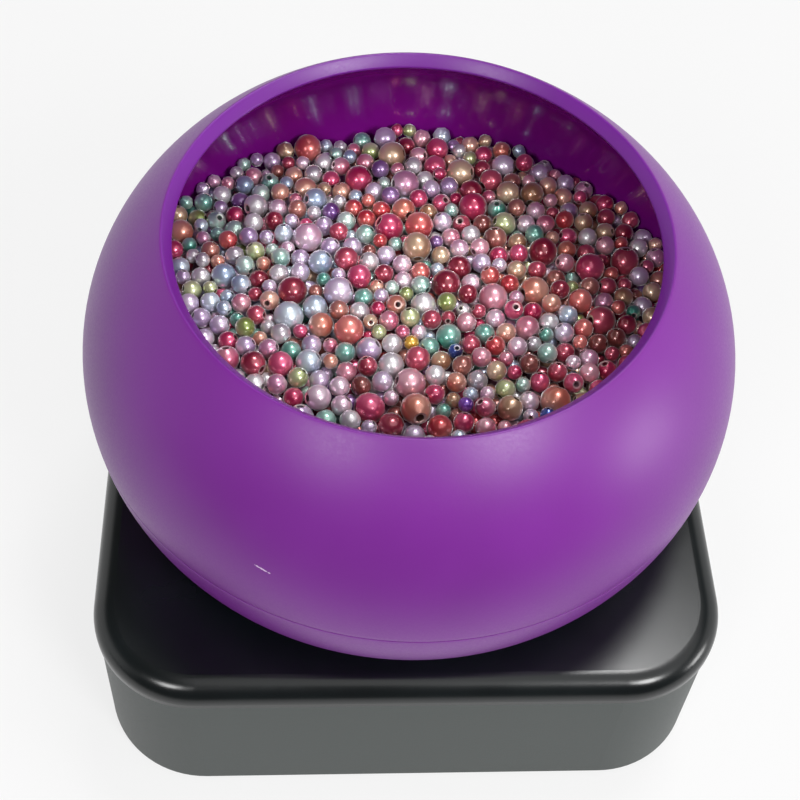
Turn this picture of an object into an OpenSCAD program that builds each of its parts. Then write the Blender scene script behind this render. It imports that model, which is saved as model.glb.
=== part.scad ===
// Electric bead spinner: a round two-shell bowl that lifts off a keyed turntable, on a square base
// that holds a motor, a two-stage reduction gear and a thumbwheel speed control.
// Origin: on the spindle axis, at the height of the surface that the feet stand on. The rear is +Y.

/* [Bowl] */
// Outer diameter of the bowl at its widest
bowl_d = 125; // [121:0.5:126]
// Half height of the ellipse that the bowl is cut from
bowl_rise = 49.7; // [46:0.1:54]
// Height of the widest circle above the bowl's floor
equator_h = 24.4; // [23:0.1:27]
// Elevation of the mouth's edge on the ellipse, in degrees
mouth_angle = 44; // [38:0.5:50]
// Wall thickness of the shells
bowl_wall = 3; // [2.4:0.1:3.4]
// Height of the seam between the two shells above the bowl's floor
seam_h = 22.5; // [20:0.1:26]

/* [Beads] */
// Height of the beads where they meet the wall, above the bowl's floor
bead_h = 28; // [18:0.5:34]
// How much higher the beads lie in the middle
bead_crown = 3; // [0.5:0.5:8]
// How much higher one bead can lie than the bead beside it
bead_relief = 1.6; // [0.2:0.1:1.6]
// How many beads are laid on the heap, before those outside the bowl are left out
bead_count = 740; // [400:10:760]

/* [Base] */
// Width of the cover across its flats
base_w = 122.4; // [122:0.1:123.4]
// Height of the base without its feet
base_h = 40; // [39:0.5:44]
// Corner radius of the cover seen from above
corner_r = 20.5; // [18:0.5:24]
// Radius of the cover's rounded upper edge
edge_r = 4.3; // [3.5:0.1:5]
// Depth of the cover's skirt below its top
skirt_h = 5.5; // [5.2:0.1:6.5]
// How far the walls stand back from the skirt
wall_inset = 0.5; // [0.3:0.1:0.8]
// How far the walls lean out from top to bottom
wall_flare = 1.05; // [0.6:0.05:1.2]
// Wall thickness of the housing
wall_t = 2.2; // [2:0.1:2.4]
// Height of the feet below the housing
foot_h = 1.5; // [1:0.1:3]

/* [Drive] */
// Gear ratio, first stage: teeth of the motor pinion
pinion_teeth = 12; // [12:1:12]
// Gear ratio, first stage: teeth of the idler wheel
wheel_teeth = 45; // [45:1:45]
// Module of the first stage
fine_module = 0.6; // [0.6:0.1:0.6]
// Gear ratio, second stage: teeth of the idler pinion
idler_teeth = 15; // [15:1:15]
// Gear ratio, second stage: teeth of the spindle gear
spindle_teeth = 60; // [60:1:60]
// Module of the second stage
coarse_module = 0.8; // [0.8:0.1:0.8]
// Tooth play on each gear, measured along its pitch circle
tooth_play = 0.1; // [0.06:0.01:0.16]
// Diameter of the spindle
spindle_d = 5; // [5:0.5:5]
// Diameter of the turntable disc
hub_d = 60; // [50:1:70]

/* [Controls] */
// Diameter of the speed wheel
dial_d = 24; // [22:0.5:24]
// Thickness of the speed wheel
dial_t = 4; // [3:0.5:4]
// Grooves round the speed wheel
dial_grooves = 36; // [24:1:48]
// Bore of the power inlet
inlet_bore_d = 5.5; // [5.5:0.1:5.5]

/* [Hidden] */

$fn = 64;
over = 1;      // how far a cutting shape runs past a face
slip = 0.02;   // radial play of a press or screw fit
running = 0.05; // radial play of a running fit
quarter_turns = [0 : 90 : 270];

// Heights of the base
floor_z = foot_h;
top_z = floor_z + base_h;
cover_t = 3;
cover_under = top_z - cover_t;
plate_t = 2.5;
plate_top = floor_z + plate_t;
corner_c = base_w / 2 - corner_r;
skirt_t = 2.4;
skirt_z = top_z - skirt_h;
wall_top_x = corner_r - wall_inset;
wall_foot_x = wall_top_x + wall_flare;

// Corner posts, which the case screws and the feet share
post_xy = 45;
post_r = 4.2;
foot_r = 6;
foot_sink = 1;

// Rear control panel
panel_y = 60.2;
panel_t = 2.3;
panel_x = 39;
panel_low = 12;
panel_high = 33;
dial_xy = [24, 50.4];
dial_z = 25;
dial_gap = 0.4;
inlet_x = -24;
inlet_z = 22;
inlet_barrel_r = 3.95;

// Gear train: the idler lies to the left of the spindle, the motor behind the idler
coarse_distance = coarse_module * (idler_teeth + spindle_teeth) / 2;
fine_distance = fine_module * (pinion_teeth + wheel_teeth) / 2;
idler_x = -coarse_distance;
motor_y = fine_distance;
pressure = 20;
fine_shift = 0.35;
coarse_shift = 0.2;
spindle_r = spindle_d / 2;
idler_pin_r = 1;
motor_shaft_r = 1;

// Heights of the gears
spindle_gear_z = 10;
spindle_gear_t = 5;
spindle_hub_top = 21;
cross_pin_z = 18;
cross_pin_r = 0.75;
idler_z = 9.2;
wheel_z = 16;
wheel_t = 3.5;
motor_pinion_z = 14.5;
motor_pinion_t = 6;
gear_plate_z = 22;
gear_plate_t = 2;
gear_plate_x = [-50, 18];
gear_plate_y = [-18, 32];
motor_r = 12.2;
motor_h = 12.3;
motor_z = gear_plate_z + gear_plate_t;

// Bearings
collar_r = 8;
collar_z = 29;
bush_r = 5;
bush_flange_r = 7.5;
bush_flange_t = 1;
lower_bush_r = 4.5;
lower_bush_z = 5;
lower_boss_top = 8;
washer_t = 0.4;
clip_z = 28;
clip_t = 0.8;

// Turntable and the spigot that drives the bowl
bowl_floor_z = top_z + 2;
hub_z = top_z + washer_t;
spigot_top = bowl_floor_z + 7;
spigot_r = 8;
key_reach = 10.5;
key_w = 3;
key_angles = [0 : 120 : 240];
socket_gap = 0.3;
socket_boss_r = 14;
socket_boss_top = spigot_top + 3.5;
shaft_top = 47;
flat_x = 1.9;

// Bowl
bowl_r = bowl_d / 2;
equator_z = bowl_floor_z + equator_h;
seam_z = bowl_floor_z + seam_h;
seam_gap = 0.2;
tongue_h = 3;
tongue_r = bowl_r - bowl_wall / 2;
tongue_gap = 0.1;
tangent_h = 8;
bowl_steps = 30;
fillet_steps = 6;

// Heap of beads: its top layer lies bead by bead on a smooth bed
bead_gap = 0.2;
bead_air = 0.16;
bead_depth = 1.8; // of the highest centres under the heap's surface
bed_depth = 3;    // of the bed under the heap's surface
heap_z = bowl_floor_z + bead_h;
heap_r = bowl_r - bowl_wall - 2.5;
bed_r = (heap_r * heap_r + bead_crown * bead_crown) / (2 * bead_crown);
bead_sizes = [[0.28, 1.5], [0.86, 2], [0.95, 2.5], [1, 3]]; // share of the beads up to each radius
large_beads = [
  [-3, 28, 3], [13, 32, 3], [-23, -9, 2.5], [25, 21, 3], [20, 3, 2.5], [25, -13, 2.5],
  [17, 8, 3], [-12, 19, 2.5], [-30, -8, 2.5], [44, 20, 3], [0, -17, 3], [4, -22, 2.5]
];

// Circuit board
board_z = 18;
board_t = 1.6;
board_top = board_z + board_t;
board_x = [2, 39];
board_y = [37, 57.2];
board_posts = [[6.5, 53.5], [35.5, 40.5]];
pot_r = 6.5;
pot_top = 24;
dial_shaft_r = 2;

// Leads: the points that each one runs through
wire_r = 0.6;
wire_routes = [
  [[-34, 24.7, 37.2], [-34, 35, 37.2], [-34, 35, 21.5], [4, 39, 21.5], [4, 39, board_top]],
  [[-26, 24.7, 37.2], [-26, 33.6, 37.2], [-26, 37.6, 21.5], [4, 41.2, 21.5], [4, 41.2, board_top]],
  [[-26, 43.9, 22], [-26, 41, 22], [4, 44.5, 21.5], [4, 44.5, board_top]],
  [[-22, 43.9, 24], [-22, 42, 24], [4, 47, 22], [4, 47, board_top]]
];

// Colours
purple = "#8e3ea5";
black_plastic = "#23282a";
dark_plastic = "#3a3d40";
steel = "#b9bcc0";
brass_tone = "#c9a24b";
bronze_tone = "#a8773d";
nylon = "#e9e6da";
board_green = "#1f6b3a";
rubber_tone = "#1b1b1b";
pearl = "#d9a9bd";

// A profile swept round a square with rounded corners. Its x is measured from the corners' axes.
module around_square(c) {
  for (turn = quarter_turns) rotate(turn) translate([c, c, 0]) {
    rotate_extrude(angle = 90) children();
    rotate([90, 0, 0]) linear_extrude(2 * c) children();
  }
}

// A flat plate with a rounded square outline
module rounded_plate(c, r, z, t) {
  around_square(c) translate([0, z]) square([r, t]);
  translate([-c, -c, z]) cube([2 * c, 2 * c, t]);
}

// A block with four rounded upright edges, from low to high in x and y
module rounded_block(x, y, r, z, t) {
  translate([x[0], y[0] + r, z]) cube([x[1] - x[0], y[1] - y[0] - 2 * r, t]);
  for (side = [y[0], y[1] - r]) translate([x[0] + r, side, z]) cube([x[1] - x[0] - 2 * r, r, t]);
  corner_places = [[x[1] - r, y[1] - r, 0], [x[0] + r, y[1] - r, 90],
                   [x[0] + r, y[0] + r, 180], [x[1] - r, y[0] + r, 270]];
  for (p = corner_places)
    translate([p[0], p[1], z]) rotate(p[2]) rotate_extrude(angle = 90) square([r, t]);
}

// An upright rod between two heights
module rod(r, low, high) {
  translate([0, 0, low]) cylinder(r = r, h = high - low);
}

// A pan-head screw that points up: its head's underside is at z, and its head lies below
module screw_up(z, head_r, head_t, shank_r, shank_l) {
  difference() {
    union() {
      rod(head_r, z - head_t, z);
      rod(shank_r, z, z + shank_l);
    }
    for (turn = [0, 90]) rotate(turn)
      translate([-head_r * 0.6, -head_r * 0.14, z - head_t - over])
        cube([head_r * 1.2, head_r * 0.28, head_t * 0.5 + over]);
  }
}

module screw_down(z, head_r, head_t, shank_r, shank_l) {
  translate([0, 0, z]) mirror([0, 0, 1]) screw_up(0, head_r, head_t, shank_r, shank_l);
}

module at_posts() {
  for (x = [-post_xy, post_xy], y = [-post_xy, post_xy]) translate([x, y, 0]) children();
}

// Where the gear plate is screwed to the cover
module at_gear_plate_posts() {
  for (x = [gear_plate_x[0] + 5, gear_plate_x[1] - 5], y = [gear_plate_y[0] + 5, gear_plate_y[1] - 5])
    translate([x, y, 0]) children();
}

// Involute gear teeth
function involute(a) = tan(a) * 180 / PI - a;
function rolled(p, turn) = [p[0] * cos(turn + p[1]), p[0] * sin(turn + p[1])];

// One tooth's outline as [radius, angle] pairs, centred on angle 0
function tooth(m, teeth, shift) =
  let (pitch_r = m * teeth / 2,
       base_r = pitch_r * cos(pressure),
       tip_r = pitch_r + m * (1 + shift),
       root_r = pitch_r - m * (1.25 - shift),
       start_r = max(base_r, root_r),
       thick = PI * m / 2 + 2 * shift * m * tan(pressure) - tooth_play,
       half = thick / (2 * pitch_r) * 180 / PI + involute(pressure),
       steps = 4,
       flank = [for (i = [0 : steps]) let (r = start_r + (tip_r - start_r) * i / steps)
                [r, half - involute(acos(min(1, base_r / r)))]])
  concat([[root_r, -flank[0][1]]],
         [for (i = [0 : steps]) [flank[i][0], -flank[i][1]]],
         [for (i = [steps : -1 : 0]) flank[i]],
         [[root_r, flank[0][1]]]);

module gear_blank(m, teeth, shift, z, t) {
  outline = tooth(m, teeth, shift);
  translate([0, 0, z]) linear_extrude(t)
    polygon([for (k = [0 : teeth - 1], p = outline) rolled(p, 360 * k / teeth)]);
}

// Bowl section: the outside follows an ellipse down to a rounded heel and a flat floor
function shell_point(a) = [bowl_r * cos(a), equator_z + bowl_rise * sin(a)];
function shell_normal(a) = let (n = [cos(a) / bowl_r, sin(a) / bowl_rise]) n / norm(n);
heel_a = asin((tangent_h - equator_h) / bowl_rise);
heel_r = tangent_h / (1 + shell_normal(heel_a)[1]);
heel_c = shell_point(heel_a) - heel_r * shell_normal(heel_a);
heel_end = atan2(shell_normal(heel_a)[1], shell_normal(heel_a)[0]);

// A line that stays at one depth under the outside, from the floor's middle up to angle top_a
function skin(depth, top_a) = concat(
  [[0, bowl_floor_z + depth]],
  [for (i = [0 : fillet_steps - 1]) let (a = -90 + (heel_end + 90) * i / fillet_steps)
    heel_c + (heel_r - depth) * [cos(a), sin(a)]],
  [for (i = [0 : bowl_steps]) let (a = heel_a + (top_a - heel_a) * i / bowl_steps)
    shell_point(a) - depth * shell_normal(a)]);

function backwards(points) = [for (i = [len(points) - 1 : -1 : 0]) points[i]];

module bowl_section() {
  polygon(concat(skin(0, mouth_angle), backwards(skin(bowl_wall, mouth_angle))));
}

// The three-keyed spigot of the turntable, grown by gap for the bowl's socket
module spigot(gap, low, high) {
  rod(spigot_r + gap, low, high);
  for (a = key_angles) rotate(a)
    translate([0, -key_w / 2 - gap, low]) cube([key_reach + gap, key_w + 2 * gap, high - low]);
}

module base_cover() {
  color(black_plastic) difference() {
    union() {
      around_square(corner_c) {
        translate([0, cover_under]) square([corner_r - edge_r, cover_t]);
        translate([corner_r - edge_r, top_z - edge_r])
          intersection() { circle(edge_r); square(edge_r); }
        translate([corner_r - skirt_t, skirt_z]) square([skirt_t, skirt_h - edge_r]);
      }
      translate([-corner_c, -corner_c, cover_under]) cube([2 * corner_c, 2 * corner_c, cover_t]);
      rod(collar_r, collar_z, cover_under);
      at_posts() rod(post_r, plate_top + 3, cover_under);
      at_gear_plate_posts() rod(3.5, motor_z, cover_under);
    }
    rod(bush_r + slip, collar_z - over, top_z + over);
    rod(bush_flange_r + slip, top_z - bush_flange_t, top_z + over);
    at_posts() rod(1.45, plate_top + 2, 22);
    at_gear_plate_posts() rod(1.05, motor_z - over, 33);
  }
}

module base_housing() {
  lip_x = corner_r - skirt_t - 0.1;
  lip_t = 1.6;
  chamfer = 0.6;
  color(dark_plastic) difference() {
    union() {
      around_square(corner_c) polygon([
        [wall_top_x, skirt_z], [lip_x, skirt_z], [lip_x, top_z - edge_r],
        [lip_x - lip_t, top_z - edge_r], [lip_x - lip_t, skirt_z - 1],
        [wall_top_x - wall_t, skirt_z - 3], [wall_foot_x - wall_t, floor_z],
        [wall_foot_x - chamfer, floor_z], [wall_foot_x, floor_z + chamfer]]);
      translate([-panel_x - 1, panel_y - panel_t, panel_low - 2])
        cube([2 * panel_x + 2, panel_t, panel_high - panel_low + 4]);
    }
    translate([0, panel_y, 0]) rotate([-90, 0, 0])
      rounded_block([-panel_x, panel_x], [-panel_high, -panel_low], 3, 0, 5);
    translate(dial_xy) rod(dial_d / 2 + dial_gap, dial_z - dial_gap, dial_z + dial_t + dial_gap);
    translate([inlet_x, panel_y - panel_t - over, inlet_z]) rotate([-90, 0, 0])
      cylinder(r = inlet_barrel_r + running, h = panel_t + 2 * over);
  }
}

module bottom_plate() {
  color(dark_plastic) difference() {
    union() {
      rounded_plate(corner_c, wall_foot_x - wall_t - 0.25, floor_z, plate_t);
      at_posts() rod(post_r + 0.8, plate_top, plate_top + 3);
      translate([idler_x, 0, 0]) rod(3, plate_top, 9);
      rod(collar_r, plate_top, lower_boss_top);
      for (p = board_posts) translate(p) rod(3, plate_top, board_z);
    }
    at_posts() {
      rod(foot_r + 0.1, floor_z - over, floor_z + foot_sink);
      rod(3.1, floor_z, plate_top + 0.8);
      rod(1.7, floor_z, plate_top + 4);
    }
    translate([idler_x, 0, 0]) rod(idler_pin_r + slip, 5, 10);
    rod(lower_bush_r + slip, lower_bush_z, lower_boss_top + over);
    for (p = board_posts) translate(p) rod(1.02, board_z - 6, board_z + over);
  }
}

module rubber_feet() {
  color(rubber_tone) at_posts() {
    rod(foot_r - 0.5, 0, 0.5);
    rod(foot_r, 0.5, floor_z + foot_sink);
  }
}

module case_screws() {
  color(steel) at_posts() screw_up(plate_top + 0.8, 2.75, 1.7, 1.4, 14);
}

module gear_plate() {
  color(nylon) difference() {
    rounded_block(gear_plate_x, gear_plate_y, 4, gear_plate_z, gear_plate_t);
    rod(9, gear_plate_z - over, motor_z + over);
    translate([idler_x, 0, 0]) rod(idler_pin_r + slip, gear_plate_z - over, motor_z + over);
    translate([idler_x, motor_y, 0]) {
      rod(3.3, gear_plate_z - over, motor_z + over);
      for (x = [-7, 7]) translate([x, 0, 0]) rod(1.1, gear_plate_z - over, motor_z + over);
    }
    at_gear_plate_posts() rod(1.2, gear_plate_z - over, motor_z + over);
  }
}

module gear_plate_screws() {
  color(steel) at_gear_plate_posts() screw_up(gear_plate_z, 2.2, 1.4, 1, 8);
}

module motor_can() {
  color(steel) translate([idler_x, motor_y, 0]) {
    difference() {
      union() {
        rod(motor_r, motor_z, motor_z + motor_h - 1);
        translate([0, 0, motor_z + motor_h - 1]) cylinder(r1 = motor_r, r2 = motor_r - 1, h = 1);
        rod(3.1, motor_z - 1, motor_z);
        rod(3.2, motor_z + motor_h, motor_z + motor_h + 0.6);
        for (x = [-4, 4]) translate([x - 1, 6.6, motor_z + motor_h - 0.5]) cube([2, 0.8, 2]);
      }
      rod(motor_shaft_r + running, motor_z - 2, motor_z + motor_h);
      for (x = [-7, 7]) translate([x, 0, 0]) rod(1.02, motor_z - over, motor_z + 2.5);
    }
  }
}

module motor_screws() {
  color(steel) translate([idler_x, motor_y, 0]) for (x = [-7, 7])
    translate([x, 0, 0]) screw_up(gear_plate_z, 1.9, 1.3, 1, 4);
}

module idler_pin() {
  color(steel) translate([idler_x, 0, 0]) rod(idler_pin_r, 5, motor_z - 0.2);
}

module upper_bush() {
  color(bronze_tone) difference() {
    union() {
      rod(bush_r, collar_z, top_z);
      rod(bush_flange_r, top_z - bush_flange_t, top_z);
    }
    rod(spindle_r + running, collar_z - over, top_z + over);
  }
}

module lower_bush() {
  color(bronze_tone) difference() {
    union() {
      rod(lower_bush_r, lower_bush_z, lower_boss_top);
      rod(6, lower_boss_top, lower_boss_top + 1);
    }
    rod(spindle_r + running, lower_bush_z - over, lower_boss_top + 2);
  }
}

module thrust_washer() {
  color(nylon) difference() {
    rod(7, top_z, hub_z);
    rod(spindle_r + running, top_z - over, hub_z + over);
  }
}

module circuit_board() {
  color(board_green) difference() {
    translate([board_x[0], board_y[0], board_z])
      cube([board_x[1] - board_x[0], board_y[1] - board_y[0], board_t]);
    for (p = board_posts) translate(p) rod(1.1, board_z - over, board_top + over);
  }
}

module board_parts() {
  color("#3b3f46") translate([13, 41, board_top]) cylinder(r = 2.6, h = 4.4);
  color("#202225") translate([19, 38, board_top]) cube([9, 4.5, 2.2]);
  color("#c8b48a") for (i = [0 : 2]) translate([10.2 + 2.6 * i, 48, board_top + 0.8])
    rotate([-90, 0, 0]) cylinder(r = 0.8, h = 4.5);
}

module board_screws() {
  color(steel) for (p = board_posts) translate(p) screw_down(board_top, 1.9, 1.3, 1, 5);
}

module speed_pot() {
  color("#4a4d52") translate(dial_xy) difference() {
    union() {
      rod(pot_r, board_top, pot_top);
      rod(3.2, pot_top, pot_top + 0.6);
    }
    rod(dial_shaft_r + running, board_top + 1, pot_top + over);
  }
}

module inlet_jack() {
  flange_t = 1.3;
  mouth_y = panel_y + flange_t;
  color("#17191b") translate([inlet_x, 0, inlet_z]) rotate([-90, 0, 0]) {
    difference() {
      union() {
        rod(5.5, panel_y, mouth_y);
        rod(inlet_barrel_r, 51, panel_y);
        rod(4.9, 45, 51);
      }
      rod(inlet_bore_d / 2, 51.5, mouth_y + over);
      translate([0, 0, mouth_y - 0.5]) cylinder(r1 = inlet_bore_d / 2, r2 = inlet_bore_d / 2 + 0.6, h = 0.6);
    }
    rod(1, 50, mouth_y - 0.8);
    for (x = [-2, 2]) translate([x - 0.9, x - 0.3, 43.9]) cube([1.8, 0.6, 2]);
  }
}

module inlet_nut() {
  back_y = panel_y - panel_t;
  color(steel) translate([inlet_x, back_y - 2.2, inlet_z]) rotate([-90, 0, 0]) difference() {
    cylinder(r = 6.3, h = 2.2, $fn = 6);
    translate([0, 0, -over]) cylinder(r = inlet_barrel_r + running, h = 2.2 + 2 * over);
  }
}

// One lead: straight stretches with a ball at every bend
module wire(points) {
  for (i = [0 : len(points) - 2]) {
    run = points[i + 1] - points[i];
    translate(points[i])
      rotate([0, acos(run[2] / norm(run)), atan2(run[1], run[0])]) cylinder(r = wire_r, h = norm(run), $fn = 16);
    if (i > 0) translate(points[i]) sphere(wire_r + 0.05, $fn = 16);
  }
}

module lead_wires() {
  tones = ["#b3261e", "#1c1c1c", "#b3261e", "#1c1c1c"];
  for (i = [0 : 3]) color(tones[i]) wire(wire_routes[i]);
}

module spindle_shaft() {
  color(steel) difference() {
    rod(spindle_r, lower_bush_z + 0.3, shaft_top);
    translate([flat_x, -spindle_r, hub_z]) cube([spindle_r, spindle_d, 10]);
    rod(1.3, 38, shaft_top + over);
    difference() {
      rod(spindle_r + over, clip_z - 0.05, clip_z + clip_t + 0.05);
      rod(2, clip_z - over, clip_z + clip_t + over);
    }
    translate([-10, 0, cross_pin_z]) rotate([0, 90, 0]) cylinder(r = cross_pin_r + slip, h = 20);
  }
}

module spindle_gear() {
  web_in = 9;
  web_out = 20;
  color(nylon) difference() {
    union() {
      gear_blank(coarse_module, spindle_teeth, -coarse_shift, spindle_gear_z, spindle_gear_t);
      rod(7, spindle_gear_z, spindle_hub_top);
    }
    rod(spindle_r + slip, spindle_gear_z - over, spindle_hub_top + over);
    for (z = [spindle_gear_z - over, spindle_gear_z + spindle_gear_t - 1.2]) difference() {
      rod(web_out, z, z + 1.2 + over);
      rod(web_in - (z < spindle_gear_z ? 0 : 2), z - over, z + 4);
    }
    for (k = [0 : 5]) rotate(60 * k + 30) translate([14.5, 0, 0])
      rod(3.4, spindle_gear_z - over, spindle_gear_z + spindle_gear_t + over);
    translate([-10, 0, cross_pin_z]) rotate([0, 90, 0]) cylinder(r = cross_pin_r + slip, h = 20);
  }
}

module gear_cross_pin() {
  color(steel) translate([-7, 0, cross_pin_z]) rotate([0, 90, 0]) cylinder(r = cross_pin_r, h = 14);
}

module retaining_clip() {
  color(steel) difference() {
    rod(4.8, clip_z, clip_z + clip_t);
    rod(2 + running, clip_z - over, clip_z + clip_t + over);
    translate([0, -1.7, clip_z - over]) cube([6, 3.4, clip_t + 2 * over]);
  }
}

module drive_hub() {
  color(black_plastic) difference() {
    union() {
      rod(hub_d / 2, hub_z, bowl_floor_z);
      spigot(0, bowl_floor_z, spigot_top);
    }
    difference() {
      rod(spindle_r + slip, hub_z - over, shaft_top);
      translate([flat_x + slip, -spindle_r, hub_z - 2]) cube([spindle_r, spindle_d, 10]);
    }
    rod(1.6, shaft_top - over, spigot_top);
    rod(3.3, shaft_top + 1, spigot_top + over);
  }
}

module hub_screw() {
  color(steel) screw_down(shaft_top + 1, 2.75, 1.9, 1.25, 9);
}

module idler_gear() {
  color(nylon) translate([idler_x, 0, 0]) difference() {
    union() {
      rotate(180 / idler_teeth)
        gear_blank(coarse_module, idler_teeth, coarse_shift, idler_z, wheel_z - idler_z);
      rotate(90) gear_blank(fine_module, wheel_teeth, -fine_shift, wheel_z, wheel_t);
      rod(3, wheel_z + wheel_t, gear_plate_z - 0.3);
    }
    rod(idler_pin_r + running, idler_z - over, gear_plate_z + over);
    for (k = [0 : 4]) rotate(72 * k) translate([9.6, 0, 0])
      rod(1.8, wheel_z - over, wheel_z + wheel_t + over);
  }
}

module motor_shaft() {
  color(steel) translate([idler_x, motor_y, 0])
    rod(motor_shaft_r, motor_pinion_z - 0.5, motor_z + motor_h - 0.4);
}

module motor_pinion() {
  color(brass_tone) translate([idler_x, motor_y, 0]) difference() {
    rotate(270 + 180 / pinion_teeth)
      gear_blank(fine_module, pinion_teeth, fine_shift, motor_pinion_z, motor_pinion_t);
    rod(motor_shaft_r + slip, motor_pinion_z - over, motor_pinion_z + motor_pinion_t + over);
  }
}

module speed_wheel() {
  groove = 0.5;
  per_groove = 6;
  count = dial_grooves * per_groove;
  color(black_plastic) translate(dial_xy) difference() {
    translate([0, 0, dial_z]) linear_extrude(dial_t)
      polygon([for (i = [0 : count - 1])
        let (a = 360 * i / count, r = dial_d / 2 - groove * pow(sin(dial_grooves * a / 2), 2))
        r * [cos(a), sin(a)]]);
    rod(8.5, dial_z + dial_t - 0.8, dial_z + dial_t + over);
    rod(dial_shaft_r + slip, dial_z - over, dial_z + dial_t + over);
  }
}

module dial_shaft() {
  color("#d8d4c8") translate(dial_xy) difference() {
    rod(dial_shaft_r, board_top + 1.2, dial_z + dial_t - 0.8);
    rod(0.82, pot_top - 2, dial_z + dial_t);
  }
}

module wheel_screw() {
  color(steel) translate(dial_xy) screw_down(dial_z + dial_t - 0.8, 2.6, 1.1, 0.8, 4);
}

module bowl_lower() {
  color(purple) difference() {
    union() {
      rotate_extrude($fn = 96) difference() {
        bowl_section();
        translate([0, seam_z + tongue_h]) square(2 * bowl_d);
        translate([tongue_r, seam_z]) square(2 * bowl_d);
      }
      rod(socket_boss_r, bowl_floor_z + 1, socket_boss_top - 2);
      translate([0, 0, socket_boss_top - 2]) cylinder(r1 = socket_boss_r, r2 = socket_boss_r - 2, h = 2);
    }
    spigot(socket_gap, bowl_floor_z - over, spigot_top + socket_gap);
  }
}

module bowl_upper() {
  color(purple) rotate_extrude($fn = 96) difference() {
    bowl_section();
    square([bowl_d, seam_z + seam_gap]);
    translate([0, seam_z]) square([tongue_r + tongue_gap, tongue_h]);
  }
}

// The beads of the heap's top layer. Each one, [x, y, height, radius], is laid against two that
// lie already, in a ring that grows from the axis, and takes half of bead_air with it all round.
function chance(i, salt) = let (v = 43758.5453 * sin(12.9898 * i + 78.233 * salt)) v - floor(v);
function bead_r(i) = [for (size = bead_sizes) if (chance(i, 5) < size[0]) size[1]][0];
function bead_z(i) = -bead_relief * chance(i, 3);

function lean(a, b, z, r) =
  let (run = [b[0] - a[0], b[1] - a[1]],
       from_a = pow(a[3] + r, 2) - pow(z - a[2], 2),
       from_b = pow(b[3] + r, 2) - pow(z - b[2], 2),
       along = (run * run + from_a - from_b) / (2 * run * run),
       across = sqrt(max(0, from_a / (run * run) - along * along)))
  [a[0] + along * run[0] - across * run[1], a[1] + along * run[1] + across * run[0], z, r];

function next_bead(i, a, b) =
  let (bead = lean(a, b, bead_z(i), bead_r(i) + bead_air / 2),
       large = [for (l = large_beads) if (norm([bead[0] - l[0], bead[1] - l[1]]) < 2.2) l[2]])
  len(large) == 0 ? bead : lean(a, b, bead_z(i), large[0] + bead_air / 2);

function clash(a, b) = norm([a[0] - b[0], a[1] - b[1], a[2] - b[2]]) < a[3] + b[3] - 0.000001;

function touch_r(a, b) = norm([a[0] * b[3] + b[0] * a[3], a[1] * b[3] + b[1] * a[3]]) / (a[3] + b[3]);

// The ring turned until its last and first bead are the pair that touch nearest the axis
function turned(ring) =
  let (count = len(ring),
       away = [for (i = [0 : count - 1]) touch_r(ring[i], ring[(i + 1) % count])],
       nearest = search(min(away), away)[0])
  [for (i = [1 : count]) ring[(nearest + i) % count]];

// Lays bead after bead. Where the next one would clash, the ring takes the shorter way past.
function lay(i, laid, ring) = i >= bead_count ? laid :
  let (end = len(ring) - 1,
       bead = next_bead(i, ring[end], ring[0]),
       hits = [for (j = [1 : end - 1]) if (clash(ring[j], bead)) j])
  len(hits) == 0 ? lay(i + 1, concat(laid, [bead]), turned(concat(ring, [bead])))
  : hits[0] <= end - hits[len(hits) - 1] ? lay(i, laid, [for (j = [hits[0] : end]) ring[j]])
  : lay(i, laid, [for (j = [0 : hits[len(hits) - 1]]) ring[j]]);

function top_beads() =
  let (r = [for (i = [0 : 2]) bead_r(i) + bead_air / 2],
       a = [-r[1], 0, bead_z(0), r[0]],
       b = [r[0], 0, bead_z(1), r[1]],
       c = lean(b, a, bead_z(2), r[2]))
  lay(3, [a, b, c], [b, c, a]);

function inner_r(z) = bowl_r * sqrt(1 - pow((z - equator_z) / bowl_rise, 2)) - bowl_wall - bead_gap;

module bead_fill() {
  side = skin(bowl_wall + bead_gap, asin((heap_z - bed_depth - equator_z) / bowl_rise));
  edge = side[len(side) - 1];
  well_r = socket_boss_r + bead_gap;
  well_z = socket_boss_top + bead_gap;
  color(pearl) union() {
    intersection() {
      rotate_extrude($fn = 96) polygon(concat(
        [[0, well_z], [well_r, well_z], [well_r, side[0][1]]],
        [for (i = [1 : len(side) - 1]) side[i]],
        [[edge[0], heap_z + bead_crown], [0, heap_z + bead_crown]]));
      translate([0, 0, heap_z - bed_depth + bead_crown - bed_r]) sphere(bed_r, $fn = 400);
    }
    for (bead = top_beads()) {
      away = norm([bead[0], bead[1]]);
      z = heap_z + bead_crown * (1 - pow(away / heap_r, 2)) - bead_depth + bead[2];
      r = bead[3] - bead_air / 2;
      if (away + r < inner_r(z)) translate([bead[0], bead[1], z]) sphere(r, $fn = 24);
    }
  }
}

base_cover();
base_housing();
bottom_plate();
rubber_feet();
case_screws();
gear_plate();
gear_plate_screws();
motor_can();
motor_screws();
idler_pin();
upper_bush();
lower_bush();
thrust_washer();
circuit_board();
board_parts();
board_screws();
speed_pot();
inlet_jack();
inlet_nut();
lead_wires();
spindle_shaft();
spindle_gear();
gear_cross_pin();
retaining_clip();
drive_hub();
hub_screw();
idler_gear();
motor_shaft();
motor_pinion();
speed_wheel();
dial_shaft();
wheel_screw();
bowl_lower();
bowl_upper();
bead_fill();
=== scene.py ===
import math

import bpy
import numpy as np
from mathutils import Matrix, Vector


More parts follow.
